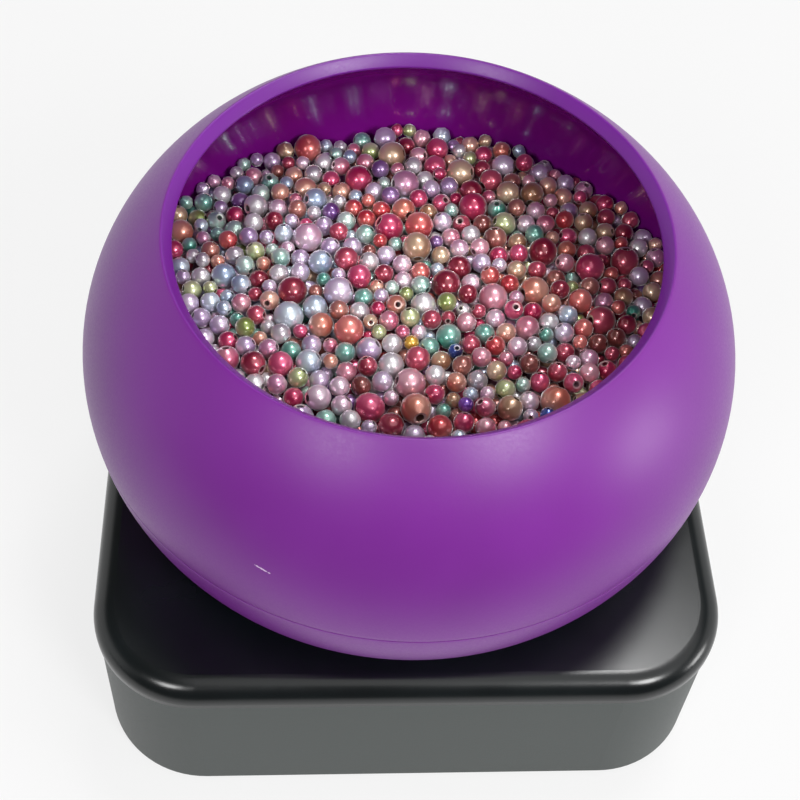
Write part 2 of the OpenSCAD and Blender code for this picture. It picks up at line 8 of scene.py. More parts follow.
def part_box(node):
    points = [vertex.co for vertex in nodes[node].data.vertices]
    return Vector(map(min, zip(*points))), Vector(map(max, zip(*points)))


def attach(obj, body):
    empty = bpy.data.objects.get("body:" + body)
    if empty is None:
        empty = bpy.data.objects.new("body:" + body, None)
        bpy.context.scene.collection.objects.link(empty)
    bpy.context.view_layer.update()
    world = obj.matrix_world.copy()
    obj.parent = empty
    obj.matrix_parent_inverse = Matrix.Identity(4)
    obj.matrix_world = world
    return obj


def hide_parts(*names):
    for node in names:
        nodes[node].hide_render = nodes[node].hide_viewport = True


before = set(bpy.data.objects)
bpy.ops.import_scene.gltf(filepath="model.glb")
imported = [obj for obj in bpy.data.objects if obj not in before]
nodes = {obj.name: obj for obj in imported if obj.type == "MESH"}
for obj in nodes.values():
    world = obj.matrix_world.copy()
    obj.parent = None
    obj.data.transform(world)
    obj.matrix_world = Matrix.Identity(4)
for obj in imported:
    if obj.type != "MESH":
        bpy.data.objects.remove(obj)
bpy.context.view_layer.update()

# Electric bead spinner. Lengths in the dictionaries are in mm, and mm turns them into metres.
mm = 0.001
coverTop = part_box("base_cover")[1].z / mm  # the flat top that the camera is placed from
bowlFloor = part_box("bowl_lower")[0].z / mm


def linearColour(hexCode):
    # sRGB hex to the linear colour that a shader wants
    levels = [int(hexCode[i:i + 2], 16) / 255 for i in (1, 3, 5)]
    return [v / 12.92 if v <= 0.04045 else ((v + 0.055) / 1.055) ** 2.4 for v in levels] + [1.0]


# Camera

camera = {
    "azimuth": -5.53,     # degrees, seen from a little to the left
    "elevation": 54.56,
    "roll": 4.52,         # the photo was held slightly crooked
    "distance": 286.41,
    "aimRight": -1.037,   # where the camera points, sideways from the spindle
    "aimUp": 7.742,       # and above the cover
    "lens": 62.49,        # on a 36 mm sensor
    "sensor": 36.0,
}


def addCamera(c):
    azimuth, elevation = math.radians(c["azimuth"]), math.radians(c["elevation"])
    back = Vector((
        math.sin(azimuth) * math.cos(elevation),
        -math.cos(azimuth) * math.cos(elevation),
        math.sin(elevation),
    ))
    right = Vector((math.cos(azimuth), math.sin(azimuth), 0))
    aim = right * c["aimRight"] + Vector((0, 0, c["aimUp"] + coverTop))
    bpy.ops.object.camera_add(location=(aim + back * c["distance"]) * mm)
    cam = bpy.context.object
    cam.name = "photoCamera"
    turn = Matrix.Rotation(math.radians(c["roll"]), 4, back)
    cam.rotation_mode = "QUATERNION"
    level = (-back).to_track_quat("-Z", "Y").to_matrix().to_4x4()
    cam.rotation_quaternion = (turn @ level).to_quaternion()
    cam.data.sensor_width = c["sensor"]
    cam.data.lens = c["lens"]
    cam.data.clip_start = 0.01
    cam.data.clip_end = 20
    bpy.context.scene.camera = cam


bpy.ops.object.select_all(action="DESELECT")
addCamera(camera)
print("camera placed")


# Small helpers for modelling

def startEdit(obj):
    bpy.ops.object.select_all(action="DESELECT")
    obj.select_set(True)
    bpy.context.view_layer.objects.active = obj
    bpy.ops.object.mode_set(mode="EDIT")


def pickVertices(obj, test):
    # selects the vertices whose place passes the test
    bpy.ops.mesh.select_mode(type="VERT")
    bpy.ops.mesh.select_all(action="DESELECT")
    bpy.ops.object.mode_set(mode="OBJECT")
    for v in obj.data.vertices:
        v.select = bool(test(v.co))
    bpy.ops.object.mode_set(mode="EDIT")


def applyPlace(obj):
    bpy.ops.object.select_all(action="DESELECT")
    obj.select_set(True)
    bpy.context.view_layer.objects.active = obj
    bpy.ops.object.transform_apply(location=True, rotation=True, scale=True)


def smoothShade(obj, degrees):
    bpy.ops.object.select_all(action="DESELECT")
    obj.select_set(True)
    bpy.context.view_layer.objects.active = obj
    bpy.ops.object.shade_smooth_by_angle(angle=math.radians(degrees))


def useModifier(obj, kind, **settings):
    bpy.context.view_layer.objects.active = obj
    modifier = obj.modifiers.new(kind.title(), kind)
    for key, value in settings.items():
        setattr(modifier, key, value)
    bpy.ops.object.modifier_apply(modifier=modifier.name)


def lathe(name, outline, steps, closed):
    # an outline of (radius, height) points in mm is drawn vertex by vertex and spun round the spindle
    bpy.ops.object.select_all(action="DESELECT")
    bpy.ops.mesh.primitive_plane_add(size=mm, location=(0, 0, 0))
    obj = bpy.context.object
    obj.name = obj.data.name = name
    bpy.ops.object.mode_set(mode="EDIT")
    bpy.ops.mesh.select_mode(type="VERT")
    bpy.ops.mesh.merge(type="CENTER")
    places = [Vector((r * mm, 0, z * mm)) for r, z in outline]
    bpy.ops.transform.translate(value=places[0])
    for here, there in zip(places, places[1:]):
        bpy.ops.mesh.extrude_vertices_move(TRANSFORM_OT_translate={"value": there - here})
    if closed:
        near = 1e-7
        pickVertices(obj, lambda p: (p - places[0]).length < near or (p - places[-1]).length < near)
        bpy.ops.mesh.edge_face_add()
    bpy.ops.mesh.select_all(action="SELECT")
    bpy.ops.mesh.spin(steps=steps, angle=math.tau, center=(0, 0, 0), axis=(0, 0, 1))
    bpy.ops.mesh.select_all(action="SELECT")
    bpy.ops.mesh.remove_doubles(threshold=0.01 * mm)
    bpy.ops.mesh.normals_make_consistent(inside=False)
    bpy.ops.object.mode_set(mode="OBJECT")
    return obj


def finishPiece(obj, body, replaced):
    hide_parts(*replaced)
    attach(obj, body)


# Small helpers for materials

def addNode(tree, kind, settings=None, inputs=None):
    # one node, with its settings, and its inputs as values or as links from other sockets
    node = tree.nodes.new(kind)
    for key, value in (settings or {}).items():
        setattr(node, key, value)
    for key, value in (inputs or {}).items():
        if isinstance(value, bpy.types.NodeSocket):
            tree.links.new(value, node.inputs[key])
        else:
            node.inputs[key].default_value = value
    return node


def startMaterial(name, colour, **sockets):
    # a Principled surface whose plain values sit on its own sockets
    material = bpy.data.materials.new(name)
    material.use_nodes = True
    tree = material.node_tree
    tree.nodes.clear()
    shader = addNode(tree, "ShaderNodeBsdfPrincipled", {}, {"Base Color": linearColour(colour)})
    for key, value in sockets.items():
        shader.inputs[key.replace("_", " ")].default_value = value
    addNode(tree, "ShaderNodeOutputMaterial", {}, {"Surface": shader.outputs["BSDF"]})
    place = addNode(tree, "ShaderNodeTexCoord").outputs["Object"]
    return material, tree, shader, place


def layFinish(tree, shader, look, drift, skin=None, relief=None):
    # Colour follows the drift, roughness the skin and height the relief. Drift and skin come with the
    # two values of the pattern that give the first and the last tone or roughness.
    share = addNode(tree, "ShaderNodeMapRange", {}, {
        "Value": drift[0], "From Min": drift[1], "From Max": drift[2],
    }).outputs["Result"]
    tone = addNode(tree, "ShaderNodeMix", {"data_type": "RGBA"}, {
        0: share, 6: linearColour(look["tones"][0]), 7: linearColour(look["tones"][1]),
    }).outputs[2]
    tree.links.new(tone, shader.inputs["Base Color"])
    if skin:
        gloss = addNode(tree, "ShaderNodeMapRange", {}, {
            "Value": skin[0], "From Min": skin[1], "From Max": skin[2],
            "To Min": look["rough"][0], "To Max": look["rough"][1],
        }).outputs["Result"]
        tree.links.new(gloss, shader.inputs["Roughness"])
    if relief:
        bump = addNode(tree, "ShaderNodeBump", {}, {
            "Height": relief, "Distance": look["depth"] * mm,
        }).outputs["Normal"]
        tree.links.new(bump, shader.inputs["Normal"])


def mouldedFinish(name, look):
    # A moulded surface with cloudy patterns, each given as its size in mm, its detail and its roughness.
    # Where two of them are the same, one serves for both.
    material, tree, shader, place = startMaterial(name, look["tones"][0], IOR=look["ior"])
    clouds = {}
    for pattern in (look["drift"], look["skin"], look["relief"]):
        if pattern and pattern not in clouds:
            size, detail, rough = pattern
            clouds[pattern] = addNode(tree, "ShaderNodeTexNoise", {}, {
                "Vector": place, "Scale": 1 / (size * mm), "Detail": detail, "Roughness": rough,
            }).outputs["Fac"]
    low, high = 0.3, 0.7  # nearly all of a cloudy pattern lies between these
    drift, skin = ((clouds[look[use]], low, high) for use in ("drift", "skin"))
    layFinish(tree, shader, look, drift, skin, clouds.get(look["relief"]))
    return material, tree, shader, place


def paint(nodeNames, material):
    for nodeName in nodeNames:
        mesh = nodes[nodeName].data
        mesh.materials.clear()
        mesh.materials.append(material)


# Materials of the bowl

bowlLook = {
    "shell": {
        "ior": 1.49,
        "tones": ("#701b87", "#6a1780"),
        "rough": (0.35, 0.45),
        "drift": (26.0, 2.0, 0.5),   # slow drift in colour where the melt flowed
        "skin": (0.45, 4.0, 0.6),    # bloom of the satin mould, drawn coarser so that it shows
        "relief": (0.45, 4.0, 0.6),
        "depth": 0.012,
    },
    # what the edge of the mouth and the core side have otherwise
    "mouth": {
        # painted shade: a slightly deeper tone than the shell's, for the rim's shaded inner face
        "tones": ("#6d198c", "#671584"),
        "rough": (0.32, 0.42),
    },
    "core": {
        # painted light: a lighter tone than the shell's, for the shaded inside of the same plastic
        "tones": ("#84128e", "#7a0e82"),
        "rough": (0.1, 0.17),
        "skin": (3.0, 3.0, 0.5),     # the polish is not quite flat
        "relief": (3.0, 3.0, 0.5),
        "depth": 0.02,
    },
    "scuff": {
        "colour": "#cfb4d8",
        "at": (-27.0, -54.8, 78.4),
        "reach": (1.5, 1.5, 0.14),
        "turn": (0.0, 18.0, 32.0),   # degrees
        "breaks": 0.5,               # mm, size of the gaps in it
        "ragged": 0.55,
        "edge": (0.8, 1.1),          # shares of its reach between which it fades out
    },
}


def satinPolypropylene(look):
    # The outside comes from a satin mould: soft broad gloss, hardly any sharp reflection
    material, tree, shader, place = mouldedFinish("satinMouldedPolypropylene", look["shell"])
    # one light scuff where the bowl was knocked
    scuff = look["scuff"]
    offset = addNode(tree, "ShaderNodeMapping", {"vector_type": "TEXTURE"}, {
        "Vector": place,
        "Location": Vector(scuff["at"]) * mm,
        "Rotation": [math.radians(turn) for turn in scuff["turn"]],
        "Scale": Vector(scuff["reach"]) * mm,
    }).outputs["Vector"]
    away = addNode(tree, "ShaderNodeVectorMath", {"operation": "LENGTH"}, {0: offset}).outputs["Value"]
    breaks = addNode(tree, "ShaderNodeTexNoise", {}, {
        "Vector": place, "Scale": 1 / (scuff["breaks"] * mm), "Detail": 3.0,
    }).outputs["Fac"]
    ragged = addNode(tree, "ShaderNodeMapRange", {}, {
        "Value": breaks, "From Min": 0.3, "From Max": 0.7,
        "To Min": -scuff["ragged"], "To Max": scuff["ragged"],
    }).outputs["Result"]
    edge = addNode(tree, "ShaderNodeMath", {"operation": "ADD"}, {0: away, 1: ragged}).outputs["Value"]
    amount = addNode(tree, "ShaderNodeMapRange", {}, {
        "Value": edge, "From Min": scuff["edge"][0], "From Max": scuff["edge"][1],
        "To Min": 1, "To Max": 0,
    }).outputs["Result"]
    marked = addNode(tree, "ShaderNodeMix", {"data_type": "RGBA"}, {
        0: amount,
        6: shader.inputs["Base Color"].links[0].from_socket,
        7: linearColour(scuff["colour"]),
    }).outputs[2]
    tree.links.new(marked, shader.inputs["Base Color"])
    return material


def trimmedPolypropylene(look):
    # The flat edge of the mouth, where the mould parts: smoother, with a slightly deeper tone than the
    # shell that is painted shade on the rim's inner face
    return mouldedFinish("trimmedPolypropyleneEdge", {**look["shell"], **look["mouth"]})[0]


def glossyPolypropylene(look):
    # The core side of the same moulding is polished, so it mirrors the beads in streaks; its tone,
    # lighter and more saturated than the outside's, is painted light that brightens the shaded inside
    return mouldedFinish("polishedMouldedPolypropylene", {**look["shell"], **look["core"]})[0]


# Bowl: two shells that meet at the seam under the widest circle

bowl = {
    "radius": 62.5,
    "rise": 49.7,         # half height of the ellipse
    "equatorUp": 24.4,    # above the bowl's floor
    "seamUp": 22.5,
    "tangentUp": 8.0,     # where the heel's arc takes over
    "mouthAngle": 44.0,
    "wall": 3.0,
    "rimRound": 0.45,     # softened edges of the mouth
    "rimUp": 0.4,         # the mouth's flat edge ends this far under its inner corner
    "coreReach": 58.0,    # how far out the polished floor of the inside goes
    "seamGap": 0.2,
    "seamRound": 0.12,
    "tongueUp": 3.0,
    "tongueRadius": 61.0,
    "tongueGap": 0.1,
    "bossRadius": 14.0,
    "bossUp": 10.5,
    "bossChamfer": 2.0,
    "socketRadius": 8.3,
    "socketReach": 10.8,
    "socketKey": 3.6,
    "socketUp": 7.3,
    "steps": 160,
    "upperPoints": (34, 30),  # stretches of the upper outline, outside and inside
    "lowerPoints": 12,
    "heelPoints": 10,
}
equatorZ = bowlFloor + bowl["equatorUp"]
seamZ = bowlFloor + bowl["seamUp"]


def shellPoint(angle, depth=0.0):
    # a point of the bowl's ellipse, or one that lies depth under it
    x = bowl["radius"] * math.cos(angle)
    z = bowl["rise"] * math.sin(angle)
    normal = Vector((math.cos(angle) / bowl["radius"], math.sin(angle) / bowl["rise"])).normalized()
    return Vector((x - depth * normal.x, equatorZ + z - depth * normal.y))


def shellAngle(z, depth=0.0):
    # the ellipse angle at which the line at this depth reaches height z
    low, high = math.radians(-60), math.radians(60)
    for _ in range(40):
        middle = (low + high) / 2
        low, high = (middle, high) if shellPoint(middle, depth).y < z else (low, middle)
    return low


def shellLine(start, end, depth, count):
    return [shellPoint(start + (end - start) * i / count, depth) for i in range(count + 1)]


def heelLine(depth, count):
    # the arc from the flat floor up to the ellipse
    start = math.asin((bowl["tangentUp"] - bowl["equatorUp"]) / bowl["rise"])
    normal = (shellPoint(start) - shellPoint(start, 1.0)).normalized()
    radius = bowl["tangentUp"] / (1 + normal.y)
    centre = shellPoint(start) - radius * normal
    end = math.atan2(normal.y, normal.x)
    turns = [-math.pi / 2 + (end + math.pi / 2) * i / count for i in range(count + 1)]
    return [centre + (radius - depth) * Vector((math.cos(a), math.sin(a))) for a in turns], start


def roundCorner(before, corner, after, radius, count=3):
    # replaces a sharp corner of an outline by a small arc
    back = (Vector(before) - Vector(corner)).normalized() * radius
    ahead = (Vector(after) - Vector(corner)).normalized() * radius
    curve = []
    for i in range(count + 1):
        t = i / count
        curve.append(Vector(corner) + back * (1 - t) ** 2 + ahead * t ** 2)
    return curve


def bowlUpperOutline():
    mouth = math.radians(bowl["mouthAngle"])
    low = seamZ + bowl["seamGap"]
    outer, inner = bowl["upperPoints"]
    outside = shellLine(shellAngle(low), mouth, 0, outer)
    inside = shellLine(mouth, shellAngle(seamZ + bowl["tongueUp"], bowl["wall"]), bowl["wall"], inner)
    lap = bowl["tongueRadius"] + bowl["tongueGap"]
    outline = roundCorner((lap, low), outside[0], outside[1], bowl["seamRound"])
    outline += outside[1:-1]
    outline += roundCorner(outside[-2], outside[-1], inside[0], bowl["rimRound"], 4)
    outline += roundCorner(outside[-1], inside[0], inside[1], bowl["rimRound"], 4)
    outline += inside[1:]
    outline += [Vector((lap, seamZ + bowl["tongueUp"])), Vector((lap, low))]
    return outline


def bowlLowerOutline():
    wall, count = bowl["wall"], bowl["lowerPoints"]
    outerHeel, start = heelLine(0, bowl["heelPoints"])
    innerHeel, start = heelLine(wall, bowl["heelPoints"])
    outside = shellLine(start, shellAngle(seamZ), 0, count)
    inside = shellLine(shellAngle(seamZ + bowl["tongueUp"], wall), start, wall, count)
    tongue = bowl["tongueRadius"]
    bossTop = bowlFloor + bowl["bossUp"]
    boss, cut = bowl["bossRadius"], bowl["bossChamfer"]
    outline = [Vector((0, bowlFloor))] + outerHeel + outside[1:-1]
    outline += roundCorner(outside[-2], outside[-1], (tongue, seamZ), bowl["seamRound"])
    outline += [Vector((tongue, seamZ)), Vector((tongue, seamZ + bowl["tongueUp"]))]
    outline += inside + innerHeel[::-1][1:]
    outline += [Vector((boss, bowlFloor + wall)), Vector((boss, bossTop - cut))]
    outline += [Vector((boss - cut, bossTop)), Vector((0, bossTop))]
    return outline


def makeSocketCutter():
    # the three-keyed hole that the turntable's spigot fits
    below = 1.0
    height = bowl["socketUp"] + below
    middle = bowlFloor - below + height / 2
    bpy.ops.object.select_all(action="DESELECT")
    bpy.ops.mesh.primitive_cylinder_add(
        vertices=64, radius=bowl["socketRadius"] * mm,
        depth=height * mm, location=(0, 0, middle * mm))
    cutter = bpy.context.object
    applyPlace(cutter)
    for k in range(3):
        angle = math.tau * k / 3
        reach = bowl["socketReach"]
        outward = Vector((math.cos(angle), math.sin(angle), 0))
        keyMiddle = outward * reach / 2 + Vector((0, 0, middle))
        bpy.ops.object.select_all(action="DESELECT")
        bpy.ops.mesh.primitive_cube_add(size=1, location=keyMiddle * mm, rotation=(0, 0, angle))
        key = bpy.context.object
        key.scale = Vector((reach, bowl["socketKey"], height)) * mm
        applyPlace(key)
        useModifier(cutter, "BOOLEAN", operation="UNION", object=key, solver="EXACT")
        bpy.data.objects.remove(key)
    return cutter


def makeBowl():
    outsideFinish = satinPolypropylene(bowlLook)
    insideFinish = glossyPolypropylene(bowlLook)
    mouthFinish = trimmedPolypropylene(bowlLook)
    upper = lathe("bowl_upper_shell", bowlUpperOutline(), bowl["steps"], True)
    lower = lathe("bowl_lower_shell", bowlLowerOutline(), bowl["steps"], False)
    cutter = makeSocketCutter()
    useModifier(lower, "BOOLEAN", operation="DIFFERENCE", object=cutter, solver="EXACT")
    bpy.data.objects.remove(cutter)
    mouthLow = shellPoint(math.radians(bowl["mouthAngle"]), bowl["wall"]).y - bowl["rimUp"]
    for shell, replaced in ((upper, "bowl_upper"), (lower, "bowl_lower")):
        for finish in (outsideFinish, insideFinish, mouthFinish):
            shell.data.materials.append(finish)
        for face in shell.data.polygons:
            x, y, z = face.center / mm
            inward = face.normal.x * x + face.normal.y * y < 0
            level = face.normal.z > 0 and bowlFloor + 1 < z < seamZ
            if inward and z > mouthLow:
                face.material_index = 2
            elif inward or (level and math.hypot(x, y) < bowl["coreReach"]):
                face.material_index = 1
        smoothShade(shell, 35)
        finishPiece(shell, "bowl", [replaced])


makeBowl()
print("bowl shells made")


# Beads: imitation pearls of four stock sizes. The heap's top layer follows the same rule as the
# CAD's bead_fill, so both heaps have the same beads. More beads are packed up under it.

beads = {
    "laid": 740,
    "sizes": ((0.28, 1.5), (0.86, 2.0), (0.95, 2.5), (1.0, 3.0)),  # share up to each radius
    "air": 0.16,          # left between two beads of the top layer
    "relief": 1.6,        # one bead can lie this much higher than the next
    "setDown": 1.8,       # highest centres under the heap's surface
    "levelUp": 28.0,      # the heap at the wall, above the bowl's floor
    "crown": 3.0,         # the heap is this much higher in the middle
    "heapRadius": 57.0,
    "wallGap": 0.2,
    "featureReach": 2.2,  # a bead laid this near to a feature bead takes its size
    "under": 900,         # beads under the top layer, which start between the two depths below
    "underRadii": (1.5, 2.0),
    "underHigh": 3.5,
    "underLow": 9.5,
    "seed": 7,
    "boreRadius": 0.27,   # of a bead of radius 1
    "lipRadius": 0.43,
    "lipSink": 0.04,
    "boreFront": (0, -0.55, 0.83),  # the side that few bores face
    "boreAway": 0.45,
    "boreSpread": 0.25,
    "boresShown": 0.05,   # how many of the bores that could face the front are left so
    # fewer pale and green beads below leave the gaps deeper in tone: a little painted shade
    "underPale": 0.9,     # how common the pale and green tones are under the top layer
    "largePink": 2.2,     # how much more common pink is on the two large sizes
    "toneReach": 38.0,    # the tones change from this far left to this far right
    "blend": 0.55,        # share of the second tone at a bead's middle
    "blendRun": (0.4, 0.8),
    "blendVary": 0.16,
    # the pale lip ring round each bore is a painted highlight
    "lipPaintedHighlight": ("#e4d8d2", 0.5),
    # the dark inside of each bore is painted shade
    "borePaintedShade": ("#34201f", 0.6),
}

# Tone: ends of its two-colour coat, then how common it is front left and at the back right
pearlTones = {
    "pale": [
        ("#a88bb5", "#e3d2e7", 4.6, 1.4),
        ("#b1a7b1", "#e7e2e5", 3.8, 1.1),
        ("#93a4bf", "#d2dde9", 5.0, 0.6),
        ("#ca8bad", "#ecd2e1", 2.6, 1.8),
    ],
    "pink": [
        ("#c25376", "#e6abb9", 1.5, 2.6),
        ("#b1144c", "#dd5d85", 1.2, 1.8),
        ("#ca705d", "#e7b7a2", 0.9, 2.0),
        ("#b92b37", "#e3837a", 0.6, 1.5),
    ],
    # their weight at the back right is partly painted shade from the bowl's right wall
    "deep": [
        ("#830d2b", "#c25067", 0.9, 3.2),
        ("#9e6e50", "#d7b99c", 0.8, 1.8),
        ("#7a3733", "#bb7c70", 0.5, 2.6),
        ("#5f2d7a", "#a481b3", 0.4, 0.4),
    ],
    "green": [
        ("#2f8b7a", "#9ecabd", 1.6, 0.5),
        ("#7c8d3d", "#c8cea0", 0.8, 0.8),
        ("#70a89c", "#c8ddd4", 3.2, 0.6),
    ],
    "odd": [
        ("#c87c10", "#e4b044", 0.0, 0.0),
        ("#12245c", "#3a5cc0", 0.0, 0.0),
        ("#4a1a80", "#8c50c4", 0.0, 0.0),
    ],
}

# The beads that stand out: family, tone, place to the right and back, radius if it is a large one
featureBeads = [
    ("pink", 1, -3, 28, 3.0),
    ("pink", 1, 13, 32, 3.0),
    ("pink", 1, -23, -9, 2.5),
    ("pink", 1, 25, 21, 3.0),
    ("pink", 1, 20, 3, 2.5),
    ("pink", 1, 25, -13, 2.5),
    ("pink", 0, 17, 8, 3.0),
    ("deep", 0, -12, 19, 2.5),
    ("deep", 0, -30, -8, 2.5),
    ("deep", 0, 44, 20, 3.0),
    ("pink", 2, 0, -17, 3.0),
    ("pink", 3, 4, -22, 2.5),
    ("pink", 0, 13, 23, 0),
    ("deep", 2, -19, 12, 0),
    ("deep", 2, 23, -7, 0),
    ("odd", 0, -1, -2, 0),
    ("odd", 1, 4, -8, 0),
    ("odd", 1, 28, -15, 0),
    ("odd", 2, 10, -20, 0),
    ("deep", 1, -7.5, 2, 0),
    ("pink", 2, -3, 5, 0),
]
openBores = (4, 19, 20)  # feature beads whose bore faces up and to the front


def chance(i, salt):
    value = 43758.5453 * math.sin(math.radians(math.fmod(12.9898 * i + 78.233 * salt, 360)))
    return value - math.floor(value)


def beadRadius(i):
    return next(radius for share, radius in beads["sizes"] if chance(i, 5) < share)


def beadDrop(i):
    return -beads["relief"] * chance(i, 3)


def leanBead(a, b, z, radius):
    # the place where a bead of this radius and height touches beads a and b
    runX, runY = b[0] - a[0], b[1] - a[1]
    run = runX * runX + runY * runY
    fromA = (a[3] + radius) ** 2 - (z - a[2]) ** 2
    fromB = (b[3] + radius) ** 2 - (z - b[2]) ** 2
    along = (run + fromA - fromB) / (2 * run)
    across = math.sqrt(max(0, fromA / run - along * along))
    return a[0] + along * runX - across * runY, a[1] + along * runY + across * runX, z, radius


def beadsClash(a, b):
    return math.dist(a[:3], b[:3]) < a[3] + b[3] - 1e-6


def touchAway(a, b):
    # how far from the spindle two neighbours touch
    return math.hypot(a[0] * b[3] + b[0] * a[3], a[1] * b[3] + b[1] * a[3]) / (a[3] + b[3])


def nextBead(i, a, b):
    half = beads["air"] / 2
    bead = leanBead(a, b, beadDrop(i), beadRadius(i) + half)
    for _, _, x, y, radius in featureBeads:
        if radius and math.hypot(bead[0] - x, bead[1] - y) < beads["featureReach"]:
            return leanBead(a, b, beadDrop(i), radius + half)
    return bead


def innerRadius(z):
    s = np.clip((z - equatorZ) / bowl["rise"], -0.99, 0.99)
    return bowl["radius"] * np.sqrt(1 - s * s) - bowl["wall"] - beads["wallGap"]


def heapHeight(away):
    return bowlFloor + beads["levelUp"] + beads["crown"] * (1 - (away / beads["heapRadius"]) ** 2)


def layTopBeads():
    # each bead is laid against two that lie already, in a ring that grows from the spindle
    half = beads["air"] / 2
    radii = [beadRadius(i) + half for i in range(3)]
    a = (-radii[1], 0, beadDrop(0), radii[0])
    b = (radii[0], 0, beadDrop(1), radii[1])
    c = leanBead(b, a, beadDrop(2), radii[2])
    laid, ring = [a, b, c], [b, c, a]
    while len(laid) < beads["laid"]:
        bead = nextBead(len(laid), ring[-1], ring[0])
        hits = [j for j in range(1, len(ring) - 1) if beadsClash(ring[j], bead)]
        if not hits:
            laid.append(bead)
            ring.append(bead)
            away = [touchAway(here, there) for here, there in zip(ring, ring[1:] + ring[:1])]
            nearest = away.index(min(away))
            ring = ring[nearest + 1:] + ring[:nearest + 1]
        elif hits[0] <= len(ring) - 1 - hits[-1]:
            ring = ring[hits[0]:]
        else:
            ring = ring[:hits[-1] + 1]
    top = []
    for x, y, z, radius in laid:
        away = math.hypot(x, y)
        z += heapHeight(away) - beads["setDown"]
        if away + radius - half < innerRadius(z):
            top.append((x, y, z, radius - half))
    return np.array(top)


def nearPairs(places, radii, margin):
    # pairs of beads that could touch, found cell by cell
    cell = 2 * beads["sizes"][-1][1] + margin
    grid = np.floor(places / cell).astype(np.int64)
    grid -= grid.min(0)
    size = grid.max(0) + 1
    key = (grid[:, 0] * size[1] + grid[:, 1]) * size[2] + grid[:, 2]
    order = np.argsort(key, kind="stable")
    ordered = key[order]
    firsts, seconds = [], []
    near = (-1, 0, 1)
    steps = [(x, y, z) for x in near for y in near for z in near if (x, y, z) >= (0, 0, 0)]
    for step in steps:
        beside = grid + np.array(step)
        inside = np.all((beside >= 0) & (beside < size), axis=1)
        besideKey = (beside[:, 0] * size[1] + beside[:, 1]) * size[2] + beside[:, 2]
        low = np.searchsorted(ordered, besideKey, "left")
        many = np.where(inside, np.searchsorted(ordered, besideKey, "right") - low, 0)
        first = np.repeat(np.arange(len(places)), many)
        offset = np.arange(many.sum()) - np.repeat(np.cumsum(many) - many, many)
        second = order[np.repeat(low, many) + offset]
        if step == (0, 0, 0):
            first, second = first[first < second], second[first < second]
        firsts.append(first)
        seconds.append(second)
    first, second = np.concatenate(firsts), np.concatenate(seconds)
    apart = np.linalg.norm(places[first] - places[second], axis=1)
    close = apart < radii[first] + radii[second] + margin
    return first[close], second[close]


packing = {
    "rounds": 120,
    "rise": 0.08,         # in each round
    "calm": 0.8,          # after this share of the rounds they rise more slowly
    "slow": 0.2,
    "damping": 0.8,
    "longest": 0.3,       # a bead drifts no further in a round
    "passes": 3,
    "relax": 0.6,         # how much of an overlap one pass takes out
    "refresh": 6,         # rounds until the neighbours are found again
    "margin": 1.0,        # beads this near to each other are neighbours
    "ceiling": 0.3,       # under the heap's surface
}


def packUnder(top, rng):
    # loose beads under the top layer rise into its gaps and push each other apart
    count = beads["under"]
    angle = rng.uniform(0, math.tau, count)
    away = beads["heapRadius"] * np.sqrt(rng.uniform(0, 1, count))
    height = heapHeight(away) - rng.uniform(beads["underHigh"], beads["underLow"], count)
    under = np.column_stack([away * np.cos(angle), away * np.sin(angle), height])
    places = np.vstack([top[:, :3], under])
    radii = np.concatenate([top[:, 3], rng.choice(beads["underRadii"], size=count)])
    free = np.ones(len(places))
    free[:len(top)] = 0
    last = places.copy()
    tiny = 1e-9
    for step in range(packing["rounds"]):
        drift = np.clip((places - last) * packing["damping"], -packing["longest"], packing["longest"])
        last = places.copy()
        places = places + drift * free[:, None]
        calm = step >= packing["rounds"] * packing["calm"]
        places[:, 2] += packing["rise"] * free * (packing["slow"] if calm else 1)
        if step % packing["refresh"] == 0:
            first, second = nearPairs(places, radii, packing["margin"])
        for _ in range(packing["passes"]):
            gap = places[first] - places[second]
            apart = np.sqrt((gap ** 2).sum(1)) + tiny
            overlap = radii[first] + radii[second] - apart
            hit = overlap > 0
            a, b = first[hit], second[hit]
            push = gap[hit] / apart[hit, None] * overlap[hit, None]
            share = free[a] + free[b] + tiny
            pushA = push * (free[a] / share)[:, None]
            pushB = push * (free[b] / share)[:, None]
            for axis in range(3):
                moved = np.bincount(a, pushA[:, axis], len(places))
                moved -= np.bincount(b, pushB[:, axis], len(places))
                places[:, axis] += packing["relax"] * moved
            reach = np.hypot(places[:, 0], places[:, 1])
            room = innerRadius(places[:, 2]) - radii
            shrink = np.where((reach > room) & (free > 0), room / np.maximum(reach, tiny), 1)
            places[:, :2] *= shrink[:, None]
            surface = heapHeight(np.hypot(places[:, 0], places[:, 1]))
            ceiling = surface - radii - packing["ceiling"]
            places[:, 2] = np.where(free > 0, np.minimum(places[:, 2], ceiling), places[:, 2])
    return places, radii


